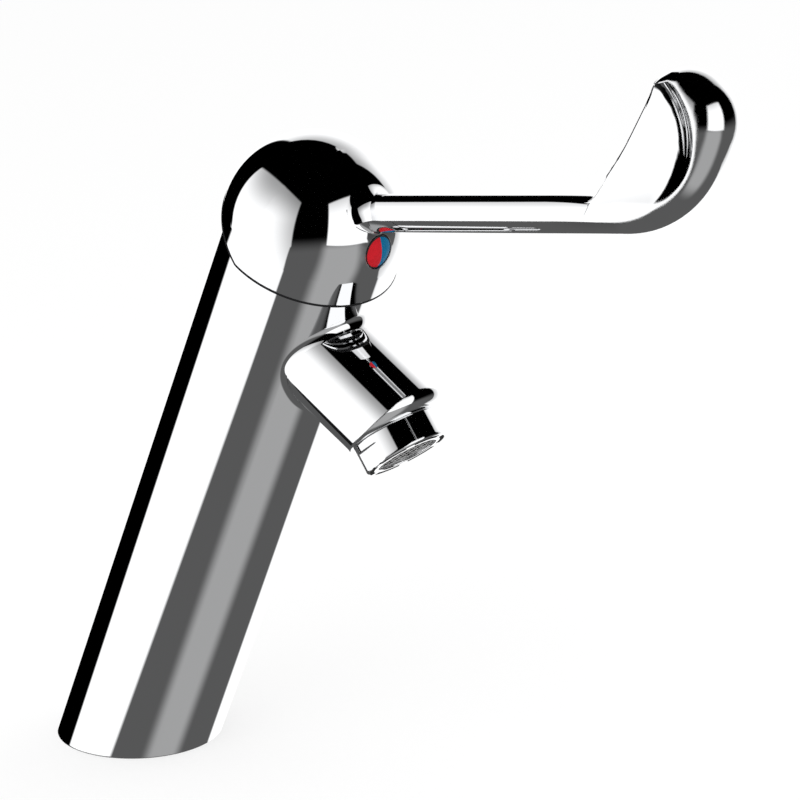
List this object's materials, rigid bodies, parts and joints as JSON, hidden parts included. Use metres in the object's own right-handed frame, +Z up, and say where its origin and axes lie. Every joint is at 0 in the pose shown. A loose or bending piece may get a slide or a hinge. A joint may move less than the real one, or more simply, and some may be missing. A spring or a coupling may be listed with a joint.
{
  "type": "elbow lever tap",
  "caption": "Leaning chrome single-lever basin mixer: tube body, round ball cap, long elbow lever with an upturned paddle, short angled spout with an aerator.",
  "frame": {"origin": "centre of the body's foot on the deck, midway between the two stud holes", "axes": "+Z up from the deck; the spout and the lever point to -Y; hot is at -X and cold at +X, left and right of a user who faces +Y"},
  "size_m": [0.0526, 0.29, 0.2387],
  "materials": {
    "chrome_plate": "polished chrome plate on cast brass",
    "brass": "machined brass",
    "steel": "stainless steel",
    "white_plastic": "moulded acetal",
    "grey_plastic": "moulded plastic",
    "rubber": "black rubber",
    "black_plastic": "black moulded plastic",
    "ceramic": "ground alumina ceramic",
    "red_plastic": "glossy red plastic",
    "blue_plastic": "glossy blue plastic"
  },
  "bodies": {
    "tap": {"body": "chrome_plate", "foot_insert": "brass", "deck_seal": "rubber", "cartridge_base": "white_plastic", "seat_seals": "rubber", "disc_seals": "rubber", "fixed_disc": "ceramic", "cartridge_housing": "white_plastic", "limit_ring": "red_plastic", "retaining_nut": "brass", "shroud": "chrome_plate", "shroud_ring": "rubber", "aerator_collar": "chrome_plate", "aerator_seal": "rubber", "aerator_strainer": "grey_plastic", "aerator_core": "white_plastic", "aerator_grid": "grey_plastic"},
    "rotor": {"rotor": "grey_plastic", "pivot_pin": "steel"},
    "lever": {"handle": "chrome_plate", "lever_stem": "steel", "set_screw": "steel", "button_holder": "black_plastic", "button_red": "red_plastic", "button_blue": "blue_plastic"},
    "disc": {"moving_disc": "ceramic", "disc_carrier": "grey_plastic"}
  },
  "joints": [
    {"name": "temperature_turn", "type": "hinge", "parent": "tap", "child": "rotor", "pos_m": [0, -0.10225, 0.1771], "axis": [0, -0.5, 0.866], "range_deg": [-45, 45]},
    {"name": "lever_lift", "type": "hinge", "parent": "rotor", "child": "lever", "pos_m": [0, -0.10225, 0.1771], "axis": [-1, 0, 0], "range_deg": [0, 20]},
    {"name": "disc_slide", "type": "slide", "parent": "rotor", "child": "disc", "axis": [0, -0.866, -0.5], "range_m": [0, 0.0042]}
  ],
  "couplings": [
    {"joint": "disc_slide", "follows": "lever_lift", "m_per_rad": 0.012}
  ]
}
